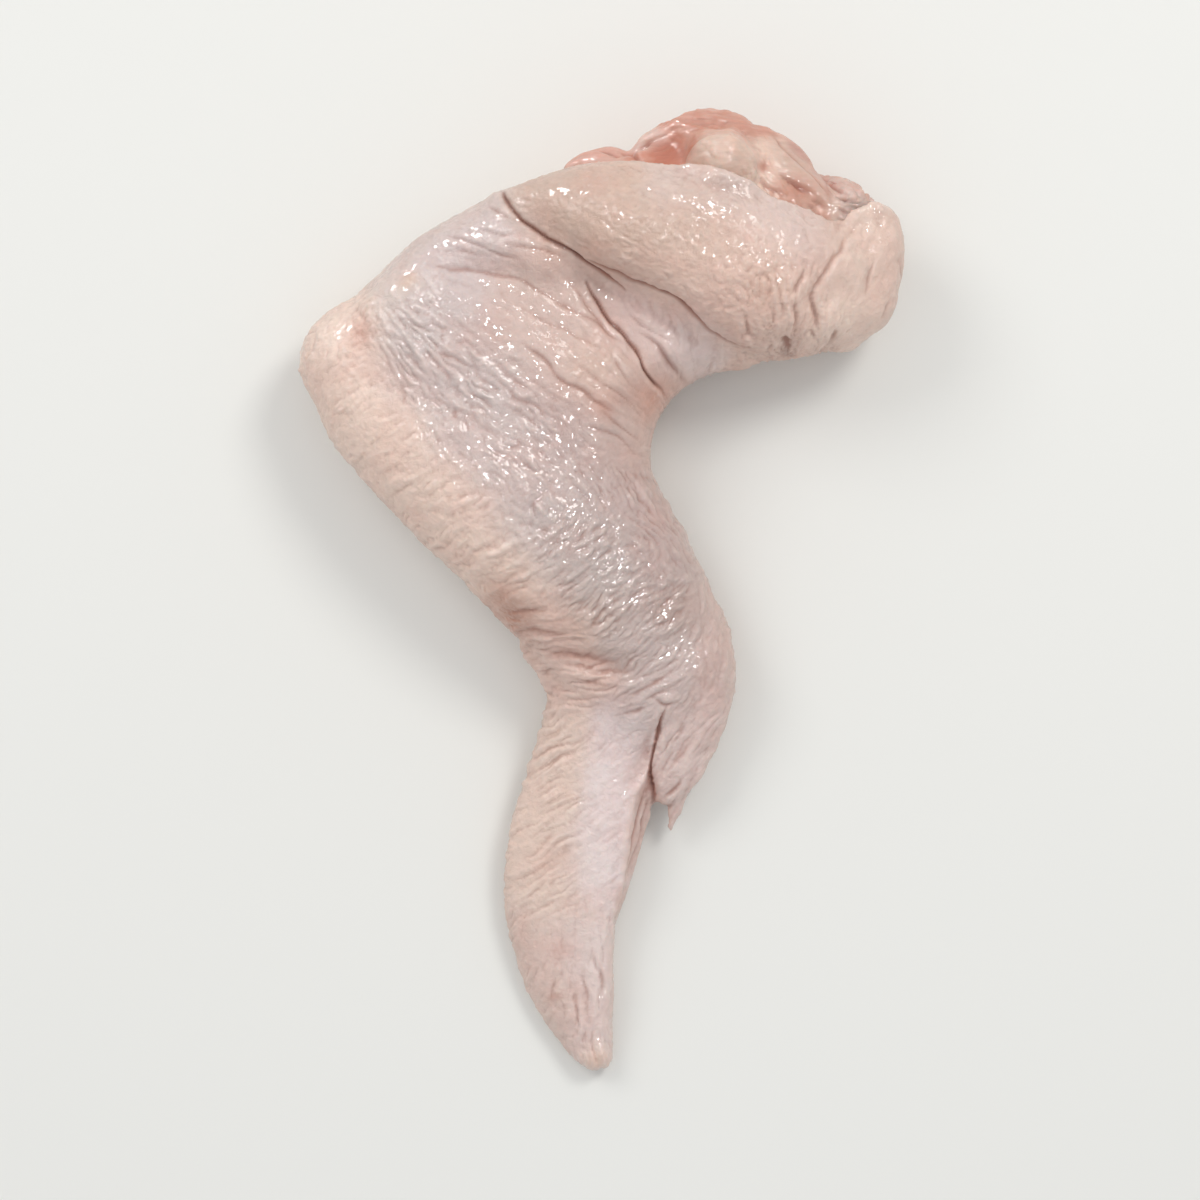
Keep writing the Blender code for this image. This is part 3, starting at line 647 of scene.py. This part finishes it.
def makeSkin(look):
    mesh, net, points = smoothBody("wing_skin", [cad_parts["wing"].data], look)
    normals = averaged(normalsOf(mesh, points), net, 6)
    lift = np.clip(points[:, 2] / mm / look["underside"] - 0.3, 0, 1)
    height, dark = foldRelief(points / mm, normals, look["folds"], look["ridges"], look["wander"])
    aside, paintedFoldShadeAside = foldRelief(points / mm, normals, look["endFolds"], {}, wander=1.0,
                                  axes=(1, 2), facing=0)
    height += aside
    dark = np.maximum(dark, paintedFoldShadeAside)
    points += normals * (height * lift * mm)[:, None]
    print("wing skin: mesh of", len(points), "points, folds pressed")

    normals = averaged(normalsOf(mesh, points), net, 2)
    plan = wandering(points / mm, reach=2.0, wave=7.0, seed=71)[:, :2]
    weights = patchWeights(plan, look["patches"], contrast=1.5)
    pebbled = weights.T @ np.array([patch.get("pebbled", 1) for patch in look["patches"].values()])
    height = wrinkleRelief(points / mm, look["patches"], weights)
    height += pebbleRelief(points / mm, look["pebbles"], pebbled)
    points += normals * (height * lift * mm)[:, None]
    points[:, 2] = np.maximum(points[:, 2], 0)
    normals = normalsOf(mesh, points)
    print("wing skin: wrinkled")

    upright = 1 - np.clip(normals[:, 2:] * 1.5 - 0.1, 0, 1)
    slid = wandering(points / mm, reach=3.5 * upright, wave=6.0, seed=83)[:, :2]
    plan = slid + plan - points[:, :2] / mm
    tintShares = patchWeights(plan, look["patches"], contrast=0.9)
    paint(mesh, net, points, normals, plan, upright, tintShares, weights, look)
    # painted shade at the bottoms of the drawn folds, and broadly in the valleys between folds
    keepNumbers(mesh, "dark", dark)
    valleys = hollowness(points, normals, net, rounds=80, full=look["valleyDepth"] * mm)
    keepNumbers(mesh, "valley", valleys)
    mesh.materials.append(skinMaterial(look))
    return placed("wing_skin", mesh)


def newMaterial(name):
    # an empty material, short words for adding a node and joining it up, and the place on the piece
    material = bpy.data.materials.new(name)
    material.use_nodes = True
    tree = material.node_tree
    tree.nodes.clear()

    def add(kind, settings=None, **inputs):
        node = tree.nodes.new(kind)
        for name, value in (settings or {}).items():
            setattr(node, name, value)
        for name, value in inputs.items():
            numbered = name[0] == "i" and name[1:].isdigit()
            socket = node.inputs[int(name[1:])] if numbered else node.inputs[name.replace("_", " ")]
            if isinstance(value, bpy.types.NodeSocket):
                tree.links.new(value, socket)
            else:
                socket.default_value = value
        return node
    return material, add, add("ShaderNodeTexCoord").outputs["Object"]


def attribute(add, name, output="Fac"):
    return add("ShaderNodeAttribute", dict(attribute_name=name)).outputs[output]


def between(add, value, low, high, least, most):
    # a value from low to high as one from least to most
    return add("ShaderNodeMapRange", i0=value, i1=low, i2=high, i3=least, i4=most).outputs[0]


def mixed(add, share, first, second, blend="MIX"):
    settings = dict(data_type="RGBA", blend_type=blend)
    return add("ShaderNodeMix", settings, i0=share, i6=first, i7=second).outputs[2]


def colourOf(tint):
    return (*linear(tint), 1)


def leaning(add, colour, number, low, high, most, tint):
    # the colour leans to a tint as the number goes from low to high
    return mixed(add, between(add, number, low, high, 0.0, most), colour, colourOf(tint))


def clouds(add, place, scale, detail, **more):
    return add("ShaderNodeTexNoise", Vector=place, Scale=scale, Detail=detail, **more).outputs["Fac"]


def vectorMath(add, operation, first, *others):
    return add("ShaderNodeVectorMath", dict(operation=operation), i0=first,
               **{"i%d" % (k + 1): other for k, other in enumerate(others)}).outputs[0]


def wetFilm(add, place, film):
    # the water film lies smoother than the skin under it: its slopes are the skin's, eased, in small facets
    eased = attribute(add, "film", "Vector")
    true = add("ShaderNodeNewGeometry").outputs["Normal"]
    followed = add("ShaderNodeMix", dict(data_type="VECTOR"), i0=film["cling"], i4=eased, i5=true).outputs[1]
    warp = add("ShaderNodeTexNoise", Vector=place, Scale=900, Detail=1).outputs["Color"]
    bent = vectorMath(add, "MULTIPLY_ADD", warp, (0.0008,) * 3, place)
    cells = add("ShaderNodeTexVoronoi", Vector=bent, Scale=1250).outputs["Color"]
    tilt = vectorMath(add, "SUBTRACT", cells, (0.5, 0.5, 0.5))
    tilted = vectorMath(add, "MULTIPLY_ADD", tilt, (film["shiver"],) * 3, followed)
    return vectorMath(add, "NORMALIZE", tilted)


def wetShader(add, place, colour, gloss, relief, wet, look):
    # lets a little light in and wears the water film as its coat
    shader = add("ShaderNodeBsdfPrincipled", Base_Color=colour, Roughness=gloss, Normal=relief,
                 Coat_Weight=wet, Coat_Normal=wetFilm(add, place, look["film"]))
    shader.inputs["Subsurface Weight"].default_value = look["sheer"]["weight"]
    shader.inputs["Subsurface Radius"].default_value = look["sheer"]["radius"]
    shader.inputs["Subsurface Scale"].default_value = look["sheer"]["scale"]
    shader.inputs["Specular IOR Level"].default_value = 0.3
    shader.inputs["Coat Roughness"].default_value = look["film"]["roughness"]
    add("ShaderNodeOutputMaterial", Surface=shader.outputs[0])


def skinMaterial(look):
    material, add, place = newMaterial("raw_skin")

    # blood and fat under the skin, in soft clouds and fine specks
    blood = clouds(add, place, 95, 3, Roughness=0.55)
    colour = leaning(add, attribute(add, "tint", "Color"), blood, 0.45, 0.72, 0.25, look["blushTint"])
    specks = clouds(add, place, 620, 2)
    colour = mixed(add, 1.0, colour, between(add, specks, 0.3, 0.7, 0.95, 1.05), "MULTIPLY")

    # blood and painted shade in the creases, valleys and drawn folds; a painted highlight on the wrinkles'
    # backs
    crease, valley, stroke = (attribute(add, name) for name in ("crease", "valley", "dark"))
    colour = leaning(add, colour, crease, 0.05, 1.0, 0.42, look["bloodAndShadeTint"])
    colour = leaning(add, colour, valley, 0.4, 1.0, 0.2, look["bloodAndShadeTint"])
    colour = leaning(add, colour, stroke, 0.1, 0.8, 0.7, look["bloodAndShadeTint"])
    colour = leaning(add, colour, stroke, 0.6, 1.0, 0.6, look["deepShadeTint"])
    # painted highlight: the sharp backs of the wrinkles are made paler
    raised = between(add, crease, -0.9, -0.1, 0.22, 0.0)
    colour = mixed(add, raised, colour, colourOf(look["ridgeHighlightTint"]))

    # pores and the finest crinkles
    crinkle = clouds(add, place, 1300, 4, Roughness=0.6, Distortion=0.8)
    pores = add("ShaderNodeTexVoronoi", Vector=place, Scale=760, Randomness=1.0).outputs["Distance"]
    fine = add("ShaderNodeBump", Strength=0.5, Distance=0.0004, Height=crinkle).outputs["Normal"]
    relief = add("ShaderNodeBump", Strength=0.25, Distance=0.0002, Height=pores,
                 Normal=fine).outputs["Normal"]
    dampness = clouds(add, place, 210, 2)
    wet = add("ShaderNodeMath", dict(operation="MULTIPLY"), i0=attribute(add, "wet"),
              i1=between(add, dampness, 0.4, 0.55, 0.35, 1.0)).outputs[0]
    gloss = between(add, dampness, 0.35, 0.65, 0.42, 0.6)
    wetShader(add, place, colour, gloss, relief, wet, look)
    return material


# The flesh at the shoulder: one surface over muscle, joint and sinew, wide enough to reach under the skin.
# pits: x, y, reach, depth. backFolds are drawn on its back face, in x and z. Swell: all round, mm.
fleshLook = dict(
    grain=0.3, roughGrain=0.6, calm=14, stretch=(30, 0.5), wander=0.4, swell=0.3,
    forms={
        "mound": (
            (17.8, 70.8, 22.6, 5.6), (20.2, 70.8, 23, 5.9), (23, 69.8, 22.6, 5.6),
            (26.4, 69.4, 21.6, 4.9), (29.6, 68.2, 20.4, 3.8)),
        "left lobe": (
            (-3.6, 71, 17.2, 2.4), (-1, 71.5, 17.6, 3.1), (1.6, 71.9, 17.6, 3.3),
            (3.4, 71.8, 17.6, 2.8)),
        "left of the top": (
            (6.6, 72.6, 18, 2.2), (9, 75.2, 18.4, 2.6), (12, 76.6, 18.6, 2.7), (15, 77.8, 18.6, 2.8),
            (18.5, 78.3, 18.4, 2.8), (22, 77.3, 18.4, 2.8)),
        "right of the top": ((26.4, 75.6, 18.4, 2.7), (30.4, 73.4, 18, 2.6), (33, 71, 17.6, 2.4)),
        "knob": ((38.4, 68.1, 17, 2.3), (41, 67.4, 17, 2.4), (42.7, 66.2, 16.4, 2.1)),
        "towards the flap": ((44.6, 61.6, 11, 2.8), (44.6, 62.4, 16, 2.8)),
    },
    fineForms={},
    pits=((12.2, 74, 3, 2.4), (8.6, 73.2, 2.6, 1.4), (26.7, 71, 1.2, 0.5), (38.6, 67.9, 1.3, 1),
          (35.6, 65, 1.6, 0.8)),
    folds={
        "left sliver": dict(wide=0.5, deep=0.9, roll=0.3, shade=0.8, line=(
            (3.4, 75), (4.6, 73.8), (5.8, 72.8), (7, 71.6))),
        "round the mound": dict(wide=0.6, deep=0.22, roll=-0.1, reach=1, shade=0.25, soft=0.6, line=(
            (13, 70.8), (13.6, 72.8), (15, 74.9), (17.4, 76.4), (20, 76.8), (22.6, 76), (25, 74.6),
            (27, 73.2))),
        "behind the streak": dict(wide=0.6, deep=0.7, roll=-0.5, reach=1.2, shade=0.6, line=(
            (28.6, 76.4), (30, 74.2), (32, 72), (34.2, 69.8), (36.6, 67.6), (38.6, 65.2))),
        "before the streak": dict(wide=0.6, deep=0.7, roll=0.4, reach=1.1, shade=0.9, line=(
            (29, 70), (31.5, 68.3), (33.4, 67.1), (35.4, 66.4))),
        "small one": dict(wide=0.6, deep=0.4, roll=0.2, shade=0.4, line=(
            (25.6, 68.8), (28.4, 67), (31, 65.8))),
        "across the knob": dict(wide=0.4, deep=0.5, roll=0.3, reach=0.8, shade=0.7, line=(
            (36.6, 70), (37.6, 68.8), (39, 67.6), (41, 66.2))),
        "below the knob": dict(wide=0.5, deep=0.4, roll=0.2, shade=0.5, line=(
            (37.8, 66.4), (40, 65.8), (42.4, 65.4))),
    },
    ridges={
        "top rim": dict(wide=1.5, high=0.8, line=(
            (5.6, 74), (8, 76.2), (12, 77.8), (17, 79.2), (22, 78.2), (27, 76.4))),
        "pale streak": dict(wide=1.5, high=0.7, line=(
            (28.2, 75), (31, 72.4), (34, 69.8), (37, 67), (39.6, 64.6))),
        "fold on the knob": dict(wide=0.4, high=0.35, line=(
            (37.8, 69), (40.2, 69), (42.2, 67.6), (43.9, 65.9))),
    },
    backFolds={
        "under the top layer": dict(wide=0.7, deep=0.8, roll=0.6, reach=1.6, shade=0.45, line=(
            (-2, 19), (6, 20.5), (14, 19), (22, 17.5), (30, 18), (36, 16))),
        "lower layer": dict(wide=0.7, deep=0.55, roll=0.4, reach=1.6, shade=0.3, line=(
            (2, 12), (10, 10), (19, 9.4), (28, 10.6), (35, 11))),
        "bundle, left": dict(wide=0.5, deep=0.35, roll=0.25, shade=0.15, line=(
            (8, 19), (9, 15), (8, 11))),
        "bundle, middle": dict(wide=0.5, deep=0.35, roll=0.25, shade=0.15, line=(
            (17, 18), (18, 14), (17, 10))),
        "bundle, right": dict(wide=0.5, deep=0.35, roll=-0.25, shade=0.15, line=(
            (27, 17.6), (26, 14), (27, 11))),
        "bundle, lowest": dict(wide=0.5, deep=0.3, roll=0.25, shade=0.12, line=(
            (13, 9.6), (14, 6.5), (13, 4))),
    },
    patches={
        "left sliver": dict(
            spots=((-1, 72, 4),), lie=8, wave=1.6, stretch=5, deep=0.12, wet=0.4, tint=(208, 162, 148)),
        "red lobe": dict(
            spots=((11, 75, 4), (8, 72, 3)), lie=35, wave=1.4, stretch=6, deep=0.07, wet=0.15,
            tint=(196, 130, 108)),
        "left rim": dict(
            spots=((9.2, 77, 2), (7, 75.2, 1.6)), lie=35, wave=1.4, stretch=4, deep=0.14, wet=0.5,
            tint=(230, 214, 205)),
        "top": dict(
            spots=((13, 78.6, 2.4), (19, 79.4, 2.4), (26, 77.6, 2.2)), lie=-10, wave=1.2, stretch=4,
            deep=0.18, wet=0.4, tint=(199, 146, 128)),
        "mound": dict(
            spots=((19.5, 72.4, 3.6),), lie=-20, wave=1.4, stretch=2, deep=0.14, wet=0.3,
            tint=(216, 184, 168)),
        "middle": dict(
            spots=((27, 74.5, 2), (27.6, 70, 2.4), (24, 68.6, 2)), lie=-60, wave=1.2, stretch=4,
            deep=0.22, wet=0.3, tint=(226, 196, 180)),
        "right": dict(
            spots=((31, 68, 2.6), (34, 65.6, 2.6)), lie=-35, wave=1.2, stretch=3, deep=0.2, wet=0.35,
            tint=(206, 162, 144)),
        "streak": dict(
            spots=((29, 74.2, 1.6), (31.4, 72, 2), (34.4, 69.4, 2), (37.6, 66.4, 1.8)), lie=-42, wave=1.5,
            stretch=5, deep=0.08, wet=0.3, tint=(209, 180, 165)),
        "outer band": dict(
            spots=((32.6, 74, 1.6), (35.4, 70.6, 1.4)), lie=-52, wave=1.4, stretch=5, deep=0.12, wet=0.4,
            tint=(196, 156, 144)),
        "knob": dict(
            spots=((40, 68, 2.2), (42.6, 66.4, 2)), lie=-30, wave=1.3, stretch=2.4, deep=0.3, wet=0.35,
            tint=(199, 171, 160)),
    },
    stains={
        # the muscle's deep red, and painted shade of the hollow left of the mound
        "deep red": dict(at=(11, 73.6), reach=3, tint=(172, 102, 84), share=0.55),
        "red spot": dict(at=(26.9, 71), reach=1.1, tint=(186, 118, 98), share=0.7),
        "red under the streak": dict(at=(32.4, 67), reach=1.8, tint=(190, 126, 106), share=0.5),
        "red at the edge": dict(at=(35.6, 64.4), reach=2, tint=(190, 126, 106), share=0.5),
        "red pit of the knob": dict(at=(38.4, 67.9), reach=1.2, tint=(184, 112, 94), share=0.75),
    },
    # colour of blood and painted shade in the creases and drawn folds
    bloodAndShadeTint=(158, 92, 74),
    fatTint=(226, 200, 186),
    walls=dict(tint=(208, 150, 130), share=0.7, rounds=12, fade=0.4),
    creaseDepth=0.25,
    film=dict(rounds=6, cling=0.7, shiver=0.14, roughness=0.06),
    sheer=dict(weight=0.35, radius=(1, 0.35, 0.25), scale=0.0016),
)

# Caps over the flesh: what the joint's gristle and the sinew's knob show of themselves.
# at: middle in plan, reach: half width and half height, turn in degrees, lowest: nothing below it,
# rim: the share that slopes down to the surface round it.
capLooks = {
    "joint_head": dict(
        piece="joint_gristle", slot="cartilage", at=(19.8, 70.6), reach=(7.0, 6.3), turn=-10,
        lowest=22, rim=0.25, tint=(218, 191, 175), share=0.45),
    "sinew": dict(
        piece="sinew_knob", slot="tendon", at=(40.6, 67.6), reach=(4.0, 2.4), turn=-26,
        lowest=16, rim=0.25, tint=(213, 184, 173), share=0.4),
}


def fleshMaterial(look):
    material, add, place = newMaterial("raw_flesh")
    turn = (0, 0, math.radians(-30))      # how the fibres lie
    along = add("ShaderNodeMapping", i0=place, i2=turn, i3=(260, 1500, 900)).outputs[0]
    fibres = clouds(add, along, 1.0, 3, Roughness=0.6)
    fat = clouds(add, place, 240, 3)
    grain = between(add, fibres, 0.3, 0.7, 0.92, 1.05)
    colour = mixed(add, 1.0, attribute(add, "tint", "Color"), grain, "MULTIPLY")
    colour = leaning(add, colour, fat, 0.5, 0.72, 0.25, look["fatTint"])
    # blood and painted shade in the creases and at the bottoms of the drawn folds
    colour = leaning(add, colour, attribute(add, "crease"), 0.15, 1.0, 0.45, look["bloodAndShadeTint"])
    colour = leaning(add, colour, attribute(add, "dark"), 0.1, 1.0, 0.7, look["bloodAndShadeTint"])
    relief = add("ShaderNodeBump", Strength=0.35, Distance=0.0002, Height=fibres).outputs["Normal"]
    gloss = between(add, fat, 0.3, 0.7, 0.34, 0.5)
    wetShader(add, place, colour, gloss, relief, attribute(add, "wet"), look)
    return material


def makeFlesh(look):
    solids = [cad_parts[name].data for name in ("shoulder_muscle", "joint_head", "sinew")]
    mesh, net, points = smoothBody("shoulder_flesh", solids, look)
    normals = averaged(normalsOf(mesh, points), net, 4)
    upward = np.clip(normals[:, 2] * 2, 0, 1)
    for x, y, reach, depth in look["pits"]:
        away = np.hypot(points[:, 0] / mm - x, points[:, 1] / mm - y) / reach
        points[:, 2] -= depth * mm * np.exp(-away ** 2) * upward
    normals = averaged(normalsOf(mesh, points), net, 4)
    points += normals * look["swell"] * mm
    height, dark = foldRelief(points / mm, normals, look["folds"], look["ridges"], look["wander"])
    behind, paintedFoldShadeBehind = foldRelief(points / mm, normals, look["backFolds"], {}, wander=1.2,
                                    axes=(0, 2), facing=1)
    points += normals * ((height + behind) * mm)[:, None]
    normals = averaged(normalsOf(mesh, points), net, 2)
    upright = 1 - np.clip(normals[:, 2:] * 1.6, 0, 1)
    plan = wandering(points / mm, reach=1.0 + 4.0 * upright, wave=4.0, seed=91)[:, :2]
    weights = patchWeights(plan, look["patches"], contrast=1.6)
    points += normals * (wrinkleRelief(points / mm, look["patches"], weights) * mm)[:, None]
    normals = normalsOf(mesh, points)
    paint(mesh, net, points, normals, plan, upright, weights, weights, look)
    # painted shade at the bottoms of the drawn folds, front and back
    keepNumbers(mesh, "dark", np.maximum(dark, paintedFoldShadeBehind))
    mesh.materials.append(fleshMaterial(look))
    print("shoulder flesh: made of", len(points), "points")
    return placed("shoulder_flesh", mesh)


def makeCap(flesh, look, proud=0.22, tuck=0.5, thick=1.4):
    # a closed cap lifted off the flesh, its rim tucked under the surface round it
    patch = bmesh.new()
    patch.from_mesh(flesh.data)
    turn = math.radians(look["turn"])
    share = {}
    for point in patch.verts:
        x, y = point.co.x / mm - look["at"][0], point.co.y / mm - look["at"][1]
        along = (x * math.cos(turn) + y * math.sin(turn)) / look["reach"][0]
        across = (y * math.cos(turn) - x * math.sin(turn)) / look["reach"][1]
        share[point] = 1 - math.hypot(along, across)
    lowest = look["lowest"] * mm
    kept = {point: value for point, value in share.items() if value >= 0 and point.co.z >= lowest}
    outside = [point for point in share if point not in kept]
    tintLayer = patch.verts.layers.float_color["tint"]
    goal = linear(look["tint"])
    for point, value in kept.items():
        inside = min(value / look["rim"], 1)
        inside = inside * inside * (3 - 2 * inside)
        point.co += point.normal * (proud * inside - tuck * (1 - inside)) * mm
        old = np.array(point[tintLayer][:3])
        point[tintLayer] = (*(old + (goal - old) * look["share"] * inside), 1)
    bmesh.ops.delete(patch, geom=outside, context="VERTS")
    mesh = bpy.data.meshes.new(look["piece"])
    patch.to_mesh(mesh)
    patch.free()
    for material in flesh.data.materials:
        mesh.materials.append(material)
    cap = placed(look["piece"], mesh)
    shell = cap.modifiers.new("thickness", "SOLIDIFY")
    shell.thickness = thick * mm
    shell.offset = -1
    graph = bpy.context.evaluated_depsgraph_get()
    solid = bpy.data.meshes.new_from_object(cap.evaluated_get(graph))
    cap.modifiers.clear()
    cap.data = solid
    solid.shade_smooth()
    print(look["piece"] + ": cap of", len(solid.vertices), "points")
    return cap


# Floor, light and camera. Sizes and places in metres.
stageLook = dict(
    floor=(236, 236, 232),
    floorSize=3.0,
    skyTint=(0.97, 0.98, 1.0),
    skyStrength=0.64,
    lens=110,
    room=0.205,           # how much of the floor the frame shows from top to bottom
    softLights={
        "window": dict(at=(-0.55, 0.5, 0.7), size=0.5, power=2.5, tint=(1.0, 0.99, 0.97)),
        "lamp": dict(at=(0.42, 0.5, 0.75), size=0.32, power=2.9, tint=(1.0, 0.98, 0.95)),
    },
    # small bright lights that show only as gloss on what is wet
    glints={
        "glint, over": dict(at=(-0.12, 0.22, 0.97), size=0.056, power=0.95),
        "glint, left": dict(at=(-0.3, 0.27, 0.92), size=0.06, power=1.07),
        "glint, right": dict(at=(0.22, 0.12, 0.97), size=0.064, power=1.42),
        "glint, low right": dict(at=(0.5, -0.08, 0.86), size=0.083, power=2.4),
        "glint, back": dict(at=(0.2, 0.76, 0.6), size=0.078, power=1.95),
        "glint, rim": dict(at=(-0.55, 0.75, 0.3), size=0.16, power=5.0),
    },
)


def makeLight(name, light, glossOnly):
    lamp = bpy.data.lights.new(name, "AREA")
    lamp.shape = "DISK"
    lamp.size = light["size"]
    lamp.energy = light["power"]
    lamp.color = light.get("tint", (1, 1, 1))
    holder = placed(name, lamp)
    holder.location = light["at"]
    holder.rotation_euler = (-Vector(light["at"])).to_track_quat("-Z", "Y").to_euler()
    holder.visible_diffuse = not glossOnly


def makeStage(look):
    bpy.ops.mesh.primitive_plane_add(size=look["floorSize"], location=(0, 0, 0))
    floor = bpy.context.object
    floor.name = "floor"
    material = bpy.data.materials.new("pale_floor")
    material.use_nodes = True
    shader = material.node_tree.nodes["Principled BSDF"]
    shader.inputs["Base Color"].default_value = colourOf(look["floor"])
    shader.inputs["Roughness"].default_value = 0.6
    shader.inputs["Specular IOR Level"].default_value = 0.05
    floor.data.materials.append(material)

    world = bpy.data.worlds.new("room")
    world.use_nodes = True
    back = world.node_tree.nodes["Background"]
    back.inputs["Color"].default_value = (*look["skyTint"], 1)
    back.inputs["Strength"].default_value = look["skyStrength"]
    bpy.context.scene.world = world

    for name, light in look["softLights"].items():
        makeLight(name, light, glossOnly=False)
    for name, light in look["glints"].items():
        makeLight(name, light, glossOnly=True)
    print("stage: floor and lights placed")


def makeCamera(look):
    low, high = cadBox
    eye = bpy.data.cameras.new("camera")
    eye.lens = look["lens"]
    eye.clip_start = 0.02
    camera = placed("camera", eye)
    away = look["room"] * look["lens"] / eye.sensor_width
    camera.location = ((low.x + high.x) / 2, (low.y + high.y) / 2, away)
    bpy.context.scene.camera = camera
    bpy.context.scene.view_settings.view_transform = "Standard"
    print("stage: camera placed")


skin = makeSkin(skinLook)
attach(skin, "root")
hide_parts("wing")

flesh = makeFlesh(fleshLook)
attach(flesh, "root")
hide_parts("shoulder_muscle")

for nodeName, look in capLooks.items():
    cap = makeCap(flesh, look)
    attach(cap, "root")
    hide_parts(nodeName)

makeStage(stageLook)
makeCamera(stageLook)
